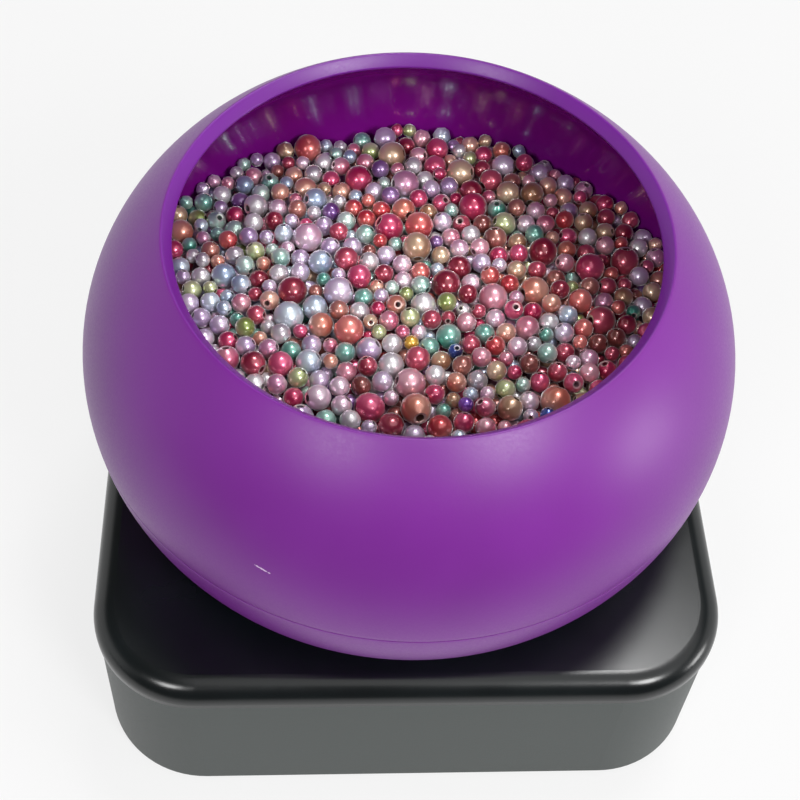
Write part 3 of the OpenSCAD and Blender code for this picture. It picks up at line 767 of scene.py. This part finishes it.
def makeBead(segments, rings):
    # one pearl of radius 1 with its bore along Z
    bpy.ops.object.select_all(action="DESELECT")
    bpy.ops.mesh.primitive_uv_sphere_add(segments=segments, ring_count=rings, radius=1)
    bead = bpy.context.object
    startEdit(bead)
    pickVertices(bead, lambda p: abs(p.z) > 0.99)  # its poles
    bpy.ops.mesh.delete(type="VERT")
    lip, bore = beads["lipRadius"], beads["boreRadius"]
    for side in (-1, 1):
        pickVertices(bead, lambda p: p.z * side > 0.7)  # the ring round a pole
        cap = next(v.co for v in bead.data.vertices if v.select)
        wide, high = math.hypot(cap.x, cap.y), abs(cap.z)
        bpy.ops.transform.resize(value=(lip / wide, lip / wide, 1))
        bpy.ops.transform.translate(value=(0, 0, side * (math.sqrt(1 - lip * lip) - high)))
        bpy.ops.mesh.extrude_edges_move()
        bpy.ops.transform.resize(value=(bore / lip, bore / lip, 1))
        bpy.ops.transform.translate(value=(0, 0, side * -beads["lipSink"]))
    pickVertices(bead, lambda p: math.hypot(p.x, p.y) < bore * 1.05)
    bpy.ops.mesh.bridge_edge_loops()
    bpy.ops.mesh.select_all(action="SELECT")
    bpy.ops.mesh.normals_make_consistent(inside=False)
    bpy.ops.object.mode_set(mode="OBJECT")
    smoothShade(bead, 42)
    return bead


def pearlLacquer():
    # Acrylic beads in pearl lacquer: a bright soft lustre under a thin clear coat, two colours to a bead.
    # The sheen is the pale rim that the lacquer's mica flakes give each bead.
    material, tree, shader, place = startMaterial(
        "pearlLacqueredAcrylic", "#d9a9bd", IOR=1.5, Metallic=0.52, Roughness=0.32,
        Coat_Weight=1.0, Coat_Roughness=0.16, Coat_IOR=1.6, Sheen_Weight=1.0, Sheen_Roughness=0.3)
    tint = addNode(tree, "ShaderNodeAttribute", {"attribute_name": "pearlTint"}).outputs["Color"]
    orangePeel = addNode(tree, "ShaderNodeTexNoise", {}, {
        "Vector": place, "Scale": 1 / (0.5 * mm), "Detail": 2.0,
    }).outputs["Fac"]
    bump = addNode(tree, "ShaderNodeBump", {}, {
        "Height": orangePeel, "Distance": 0.01 * mm,
    }).outputs["Normal"]
    tree.links.new(tint, shader.inputs["Base Color"])
    tree.links.new(bump, shader.inputs["Normal"])
    return material


def pickTone(rng, x, y, radius, under):
    # cooler tones lie front left, warmer and deeper ones at the back right, where the deep tones are
    # partly painted shade from the bowl's right wall
    right = min(1, max(0, 0.5 + (x + 0.4 * y) / (2 * beads["toneReach"])))
    choices = [(family, i) for family, tones in pearlTones.items() for i in range(len(tones))]
    weights = []
    for family, i in choices:
        leftShare, rightShare = pearlTones[family][i][2:]
        weight = leftShare * (1 - right) + rightShare * right
        # painted shade: the gaps show fewer pale beads
        if under and family in ("pale", "green"):
            weight *= beads["underPale"]
        if radius > beads["sizes"][1][1] and family == "pink":
            weight *= beads["largePink"]
        weights.append(weight)
    weights = np.array(weights)
    return choices[rng.choice(len(choices), p=weights / weights.sum())]


def pickTurn(rng, shown):
    # the bore's direction: most bores that would face up and to the front are turned away
    front = Vector(beads["boreFront"])
    while True:
        axis = Vector(rng.normal(size=3)).normalized()
        if shown:
            axis = (front + axis * beads["boreSpread"]).normalized()
        away = abs(axis.dot(front)) < beads["boreAway"]
        if shown or away or rng.uniform() < beads["boresShown"]:
            return axis.to_track_quat("Z", "Y").to_matrix().to_4x4()


def tintCorners(bead):
    # every face corner's place on the bead, and whether it lies on the coat, the lip or in the bore
    corners, kinds = [], []
    for face in bead.data.polygons:
        wide = math.hypot(face.center.x, face.center.y)
        kind = 0 if wide > beads["lipRadius"] else 1 if abs(face.center.z) > 0.8 else 2
        for i in face.vertices:
            corners.append(bead.data.vertices[i].co[:])
            kinds.append(kind)
    return np.array(corners), np.array(kinds)


def tintBead(rng, ends, corners, kinds):
    # a colour for every face corner: the two tones run into each other along a slant of the bead's own
    start, end = (np.array(linearColour(tone)) for tone in ends)
    slant = rng.normal(size=3)
    slant /= np.linalg.norm(slant)
    share = beads["blend"] + corners @ slant * rng.uniform(*beads["blendRun"])
    share = np.clip(share + rng.normal(0, beads["blendVary"]), 0, 1)[:, None]
    tint = start * (1 - share) + end * share
    # the lip is painted paler as a highlight and the bore darker as shade
    for kind, (tone, amount) in ((1, beads["lipPaintedHighlight"]), (2, beads["borePaintedShade"])):
        tint[kinds == kind] = (1 - amount) * tint[kinds == kind] + amount * np.array(linearColour(tone))
    return tint


def findFeatures(top):
    # the laid bead that lies nearest to each bead that stands out; the odd ones are of the smallest size
    features = {}
    for k, (family, _, x, y, _) in enumerate(featureBeads):
        away = np.hypot(top[:, 0] - x, top[:, 1] - y)
        if family == "odd":
            away[top[:, 3] > beads["sizes"][0][1]] = np.inf
        features[int(np.argmin(away))] = k
    return features


def joinBeads(family, copies):
    bpy.ops.object.select_all(action="DESELECT")
    for copy in copies:
        copy.select_set(True)
    bpy.context.view_layer.objects.active = copies[0]
    bpy.ops.object.join()
    heap = bpy.context.object
    heap.name = "beads_" + family
    finishPiece(heap, "bowl", ["bead_fill"])
    print(heap.name, len(copies), "beads")


def makeBeads():
    rng = np.random.default_rng(beads["seed"])
    top = layTopBeads()
    places, radii = packUnder(top, rng)
    print("beads laid:", len(top), "on top,", beads["under"], "under them")
    lacquer = pearlLacquer()
    sources = [makeBead(12, 7), makeBead(8, 5)]  # finer ones on top
    for source in sources:
        source.data.materials.append(lacquer)
    layouts = [tintCorners(source) for source in sources]
    features = findFeatures(top)
    made = {family: [] for family in pearlTones}
    for i, place in enumerate(places):
        under = int(i >= len(top))
        feature = features.get(i)
        if feature is None:
            family, tone = pickTone(rng, place[0], place[1], radii[i], under)
        else:
            family, tone = featureBeads[feature][:2]
        tint = tintBead(rng, pearlTones[family][tone][:2], *layouts[under])
        turn = pickTurn(rng, feature in openBores)
        copy = sources[under].copy()
        copy.data = sources[under].data.copy()
        colours = copy.data.color_attributes.new("pearlTint", "FLOAT_COLOR", "CORNER")
        colours.data.foreach_set("color", tint.ravel())
        at = Matrix.Translation(Vector(place) * mm)
        copy.data.transform(at @ turn @ Matrix.Scale(radii[i] * mm, 4))
        bpy.context.scene.collection.objects.link(copy)
        made[family].append(copy)
    for source in sources:
        bpy.data.objects.remove(source)
    for family, copies in made.items():
        joinBeads(family, copies)


makeBeads()


# Under the loose layers the beads are one packed bed, its dark crimson tones partly painted shade of the
# deep gaps

beadBed = {
    "down": 9.0,    # under the heap's surface at the wall
    "gap": 0.2,     # to the bowl
    "cell": 4.2,    # from bead to bead
    "depth": 1.2,   # of the dips between them
    # the dark crimson end is painted shade of the gaps deep in the heap
    "tones": ("#7c2038", "#b08fa6"),
    "steps": 64,
    "rings": 8,     # of its domed top
}


def packedPearls(look):
    # Pearls seen as one mass: every cell has its own tone and its own round top
    material, tree, shader, place = startMaterial(
        "packedPearlBed", look["tones"][0], IOR=1.5, Roughness=0.35, Coat_Weight=0.3)
    cells = addNode(tree, "ShaderNodeTexVoronoi", {}, {
        "Vector": place, "Scale": 1 / (look["cell"] * mm),
    }).outputs
    own = addNode(tree, "ShaderNodeSeparateColor", {}, {"Color": cells["Color"]}).outputs["Red"]
    height = addNode(tree, "ShaderNodeMapRange", {}, {
        "Value": cells["Distance"], "To Min": 1, "To Max": 0,
    }).outputs["Result"]
    layFinish(tree, shader, look, (own, 0, 1), relief=height)
    return material


def makeBeadBed(look):
    gap, rings = look["gap"], look["rings"]
    depth = bowl["wall"] + gap
    well = bowl["bossRadius"] + gap
    top = bowlFloor + beads["levelUp"] - look["down"]
    heel, start = heelLine(depth, 8)
    side = shellLine(start, shellAngle(top, depth), depth, 8)
    outline = [Vector((away, bowlFloor + bowl["bossUp"] + gap)) for away in (0, well)]
    outline += [Vector((well, bowlFloor + depth))] + heel + side[1:]
    for i in range(1, rings + 1):
        share = 1 - i / rings
        outline.append(Vector((side[-1].x * share, top + beads["crown"] * (1 - share ** 2))))
    bed = lathe("bead_bed", outline, look["steps"], False)
    bed.data.materials.append(packedPearls(look))
    smoothShade(bed, 40)
    finishPiece(bed, "bowl", ["bead_fill"])


makeBeadBed(beadBed)
print("bead bed made")


# Materials of the base. A look has the ends of its colour and roughness, then its cloudy patterns for
# colour, gloss and relief, and the depth of the relief. Grain, rings and pores are drawn coarser than
# the real ones, so that they show.

mouldings = {
    # black ABS from a polished mould: semi-gloss, with a faint haze where it was handled; its teal cast
    # and the lighter clouds in its colour are a painted reflection of a cool room
    "polishedBlackAbs": {
        "pieces": ["base_cover"],
        "ior": 1.5, "tones": ("#05090a", "#091012"), "rough": (0.2, 0.28),
        "drift": (24.0, 4.0, 0.55), "skin": (24.0, 4.0, 0.55), "relief": (0.5, 3.0, 0.5), "depth": 0.004,
    },
    # the walls come from a spark eroded mould: an even fine grain; the grey of the black is partly that
    # grain and partly a painted reflection of the pale table in front
    "sparkErodedBlackAbs": {
        "pieces": ["base_housing"],
        "ior": 1.5, "tones": ("#303635", "#404644"), "rough": (0.42, 0.56),
        "drift": (0.4, 4.0, 0.65), "skin": (0.4, 4.0, 0.65), "relief": (0.4, 4.0, 0.65), "depth": 0.03,
    },
    # plain nylon mouldings: a slightly waxy skin and a faint flow pattern
    "mouldedBlackNylon": {
        "pieces": ["bottom_plate", "drive_hub", "speed_wheel", "speed_pot", "inlet_jack", "board_parts"],
        "ior": 1.53, "tones": ("#24282a", "#1b1e20"), "rough": (0.37, 0.47),
        "drift": (6.0, 3.0, 0.5), "skin": (6.0, 3.0, 0.5), "relief": (0.6, 2.0, 0.5), "depth": 0.01,
    },
    # acetal for gears and what slides: the same waxy skin in ivory, a little smoother
    "mouldedWhiteAcetal": {
        "pieces": ["gear_plate", "spindle_gear", "idler_gear", "thrust_washer", "dial_shaft"],
        "ior": 1.53, "tones": ("#e9e6da", "#dcd8c8"), "rough": (0.31, 0.41),
        "drift": (6.0, 3.0, 0.5), "skin": (6.0, 3.0, 0.5), "relief": (0.6, 2.0, 0.5), "depth": 0.01,
    },
    # nitrile feet: dull, with dust caught in the skin
    "mouldedNitrileRubber": {
        "pieces": ["rubber_feet"],
        "ior": 1.52, "tones": ("#181818", "#2b2a28"), "rough": (0.72, 0.9),
        "drift": (1.2, 4.0, 0.6), "skin": (1.2, 4.0, 0.6), "relief": (1.2, 4.0, 0.6), "depth": 0.03,
    },
    # extruded vinyl insulation: smooth and slightly oily, with faint draw lines
    "extrudedVinyl": {
        "pieces": ["lead_wires"],
        "ior": 1.54, "tones": ("#a8281f", "#8a1b16"), "rough": (0.3, 0.42),
        "drift": (0.4, 2.0, 0.5), "skin": (0.4, 2.0, 0.5), "relief": None,
    },
}

metals = {
    # bright zinc: a smooth grey skin over the turned or stamped steel
    "zincPlatedSteel": {
        "pieces": ["case_screws", "gear_plate_screws", "motor_screws", "board_screws", "hub_screw",
                   "wheel_screw", "retaining_clip", "inlet_nut"],
        "tones": ("#c2c5c8", "#9fa3a8"), "rough": (0.26, 0.36), "rings": 0.5, "depth": 0.004,
    },
    # shafts and pins off the grinder: the brightest steel, with the closest rings
    "groundSteel": {
        "pieces": ["spindle_shaft", "motor_shaft", "idler_pin", "gear_cross_pin"],
        "tones": ("#bfc1c3", "#a9acb0"), "rough": (0.16, 0.26), "rings": 0.3, "depth": 0.004,
    },
    # drawn sheet: duller, with wide soft bands
    "rolledSteelCan": {
        "pieces": ["motor_can"],
        "tones": ("#b4b7ba", "#94989c"), "rough": (0.3, 0.4), "rings": 1.2, "depth": 0.004,
    },
    # free-cutting brass: warm yellow, with the cutter's rings
    "machinedBrass": {
        "pieces": ["motor_pinion"],
        "tones": ("#d2a850", "#b3893a"), "rough": (0.2, 0.3), "rings": 0.4, "depth": 0.004,
    },
}

bushLook = {"tones": ("#a87b42", "#4a3218"), "rough": (0.38, 0.6), "pore": 0.35, "depth": 0.02}

boardLook = {
    "tones": ("#1b6437", "#2f8a50"),
    "pitch": 6.0,
    "track": (0.9, 0.3, 0.06),  # shares of the pitch: length, distance to the next, gap
    "depth": 0.035,
}


def turnedMetal(name, look):
    # Turned or rolled metal: rings round the part's axis that draw its highlights out
    material, tree, shader, place = startMaterial(name, look["tones"][0], Metallic=1.0)
    repeat = math.tau / 20  # metres after which a wave texture of scale 1 starts again
    rings = addNode(tree, "ShaderNodeTexWave", {"wave_type": "BANDS", "bands_direction": "Z"}, {
        "Vector": place, "Scale": repeat / (look["rings"] * mm), "Distortion": 1.5, "Detail": 2.0,
    }).outputs["Fac"]
    stain = addNode(tree, "ShaderNodeTexNoise", {}, {
        "Vector": place, "Scale": 1 / (3.0 * mm), "Detail": 3.0,
    }).outputs["Fac"]
    layFinish(tree, shader, look, (stain, 0.3, 0.7), (rings, 0, 1), rings)
    return material


def sinteredBronze(look):
    # Oil-filled sintered bronze: brown, with dark rough pores
    material, tree, shader, place = startMaterial("sinteredBronze", look["tones"][0], Metallic=1.0)
    pores = addNode(tree, "ShaderNodeTexVoronoi", {}, {
        "Vector": place, "Scale": 1 / (look["pore"] * mm),
    }).outputs["Distance"]
    layFinish(tree, shader, look, (pores, 0.35, 0.1), (pores, 0.35, 0.1), pores)
    return material


def solderMaskBoard(look):
    # Glass-fibre board under green solder mask: glossy, with tracks that stand a little proud
    material, tree, shader, place = startMaterial(
        "solderMaskBoard", look["tones"][0], IOR=1.55, Roughness=0.25)
    length, apart, gap = look["track"]
    tracks = addNode(tree, "ShaderNodeTexBrick", {"offset": 0.5}, {
        "Vector": place, "Scale": 1 / (look["pitch"] * mm),
        "Mortar Size": gap, "Brick Width": length, "Row Height": apart,
        "Color1": (1, 1, 1, 1), "Color2": (1, 1, 1, 1), "Mortar": (0, 0, 0, 1),
    }).outputs["Fac"]
    layFinish(tree, shader, look, (tracks, 0, 1), relief=tracks)
    return material


def dressBase():
    for name, look in mouldings.items():
        paint(look["pieces"], mouldedFinish(name, look)[0])
    for name, look in metals.items():
        paint(look["pieces"], turnedMetal(name, look))
    paint(["upper_bush", "lower_bush"], sinteredBronze(bushLook))
    paint(["circuit_board"], solderMaskBoard(boardLook))


dressBase()
print("base dressed")


# Stage: a pale floor, a white backdrop behind it, soft lamps and a weak panel overhead

stage = {
    "floorSize": 20.0,      # metres
    "floorColour": "#cfcfcf",
    "floorGlow": 0.78,      # how much of the floor shows plain white by the object
    "glowFade": (0.3, 1.2),        # metres from the spindle over which that rises to all of it
    "tableEdge": (-0.21, -0.12),   # metres behind the spindle: gloss mirrors no floor in front of this
    "fill": 0.15,           # the room as a light
    "backdropTop": 25.0,    # degrees up to which the backdrop behind and beside the object is white
    "backdropEnd": 40.0,
    "backdropFront": (-0.6, -0.2),  # how far it goes round, 0 at the sides and -1 ahead
    "room": 0.15,           # how bright the rest of the room shows
    "lampAim": (0, 0, 0.06),
    "lamps": {
        "lampAbove": {"at": (0.21, 0.29, 1.15), "size": 0.34, "watts": 5.8},
        "lampLeft": {"at": (-0.48, -0.8, 0.82), "size": 0.32, "watts": 4.6},
        "lampRight": {"at": (0.53, -0.76, 0.82), "size": 0.36, "watts": 7.0},
        "lampLow": {"at": (0.95, -0.3, 0.12), "size": 0.3, "watts": 2.2},
        "ceilingPanel": {"at": (0.35, -0.25, 1.0), "size": 1.3, "watts": 4.4},
    },
}


def isSeen(tree):
    # 1 for what the camera, mirrors and glass see, 0 for what only lights the object
    path = addNode(tree, "ShaderNodeLightPath").outputs
    seen = path["Is Camera Ray"]
    for other in ("Is Glossy Ray", "Is Transmission Ray"):
        seen = addNode(tree, "ShaderNodeMath", {"operation": "MAXIMUM"}, {
            0: seen, 1: path[other],
        }).outputs["Value"]
    return seen


def paleFloor(look):
    # A pale matt board that shows nearly white, and plain white further off
    material, tree, shader, place = startMaterial("paleFloor", look["floorColour"], Roughness=0.9)
    away = addNode(tree, "ShaderNodeVectorMath", {"operation": "LENGTH"}, {0: place}).outputs["Value"]
    glow = addNode(tree, "ShaderNodeMapRange", {}, {
        "Value": away, "From Min": look["glowFade"][0], "From Max": look["glowFade"][1],
        "To Min": look["floorGlow"], "To Max": 1,
    }).outputs["Result"]
    amount = addNode(tree, "ShaderNodeMath", {"operation": "MULTIPLY"}, {
        0: isSeen(tree), 1: glow,
    }).outputs["Value"]
    white = addNode(tree, "ShaderNodeEmission", {}, {"Strength": 1.0}).outputs["Emission"]
    board = addNode(tree, "ShaderNodeMixShader", {}, {
        0: amount, 1: shader.outputs["BSDF"], 2: white,
    }).outputs["Shader"]
    # what gloss mirrors of it ends a little way in front of the object, where a table would
    back = addNode(tree, "ShaderNodeSeparateXYZ", {}, {"Vector": place}).outputs["Y"]
    past = addNode(tree, "ShaderNodeMapRange", {}, {
        "Value": back, "From Min": look["tableEdge"][0], "From Max": look["tableEdge"][1],
        "To Min": 1, "To Max": 0,
    }).outputs["Result"]
    hidden = addNode(tree, "ShaderNodeMath", {"operation": "MULTIPLY"}, {
        0: addNode(tree, "ShaderNodeLightPath").outputs["Is Glossy Ray"], 1: past,
    }).outputs["Value"]
    dim = addNode(tree, "ShaderNodeEmission", {}, {"Strength": look["room"]}).outputs["Emission"]
    ended = addNode(tree, "ShaderNodeMixShader", {}, {0: hidden, 1: board, 2: dim}).outputs["Shader"]
    output = next(node for node in tree.nodes if node.type == "OUTPUT_MATERIAL")
    tree.links.new(ended, output.inputs["Surface"])
    return material


def layFloor(look):
    bpy.ops.object.select_all(action="DESELECT")
    bpy.ops.mesh.primitive_plane_add(size=look["floorSize"], location=(0, 0, 0))
    floor = bpy.context.object
    floor.name = "floor"
    floor.data.materials.append(paleFloor(look))


def hangBackdrop(look):
    # The camera sees white all round. Gloss mirrors a white backdrop low down behind and beside
    # the object, and a dim room in front of it and above.
    world = bpy.data.worlds.new("backdropAndRoom")
    bpy.context.scene.world = world
    world.use_nodes = True
    tree = world.node_tree
    tree.nodes.clear()
    way = addNode(tree, "ShaderNodeTexCoord").outputs["Generated"]
    way = addNode(tree, "ShaderNodeSeparateXYZ", {}, {"Vector": way}).outputs
    top, end = (math.sin(math.radians(look[name])) for name in ("backdropTop", "backdropEnd"))
    low = addNode(tree, "ShaderNodeMapRange", {}, {
        "Value": way["Z"], "From Min": top, "From Max": end, "To Min": 1, "To Max": 0,
    }).outputs["Result"]
    behind = addNode(tree, "ShaderNodeMapRange", {}, {
        "Value": way["Y"], "From Min": look["backdropFront"][0], "From Max": look["backdropFront"][1],
    }).outputs["Result"]
    backdrop = addNode(tree, "ShaderNodeMath", {"operation": "MULTIPLY"}, {
        0: low, 1: behind,
    }).outputs["Value"]
    mirrored = addNode(tree, "ShaderNodeMapRange", {}, {
        "Value": backdrop, "To Min": look["room"], "To Max": 1,
    }).outputs["Result"]
    shown = addNode(tree, "ShaderNodeMath", {"operation": "MAXIMUM"}, {
        0: mirrored, 1: addNode(tree, "ShaderNodeLightPath").outputs["Is Camera Ray"],
    }).outputs["Value"]
    strength = addNode(tree, "ShaderNodeMix", {}, {
        0: isSeen(tree), 2: look["fill"], 3: shown,
    }).outputs[0]
    background = addNode(tree, "ShaderNodeBackground", {}, {
        "Color": (1, 1, 1, 1), "Strength": strength,
    }).outputs["Background"]
    addNode(tree, "ShaderNodeOutputWorld", {}, {"Surface": background})


def hangLamps(look):
    for name, lamp in look["lamps"].items():
        bpy.ops.object.light_add(type="AREA", location=lamp["at"])
        light = bpy.context.object
        light.name = name
        light.data.shape = "DISK"
        light.data.size = lamp["size"]
        light.data.energy = lamp["watts"]
        aim = Vector(look["lampAim"]) - light.location
        light.rotation_mode = "QUATERNION"
        light.rotation_quaternion = aim.to_track_quat("-Z", "Y")


layFloor(stage)
hangBackdrop(stage)
hangLamps(stage)
bpy.context.scene.view_settings.view_transform = "Standard"
print("stage set")
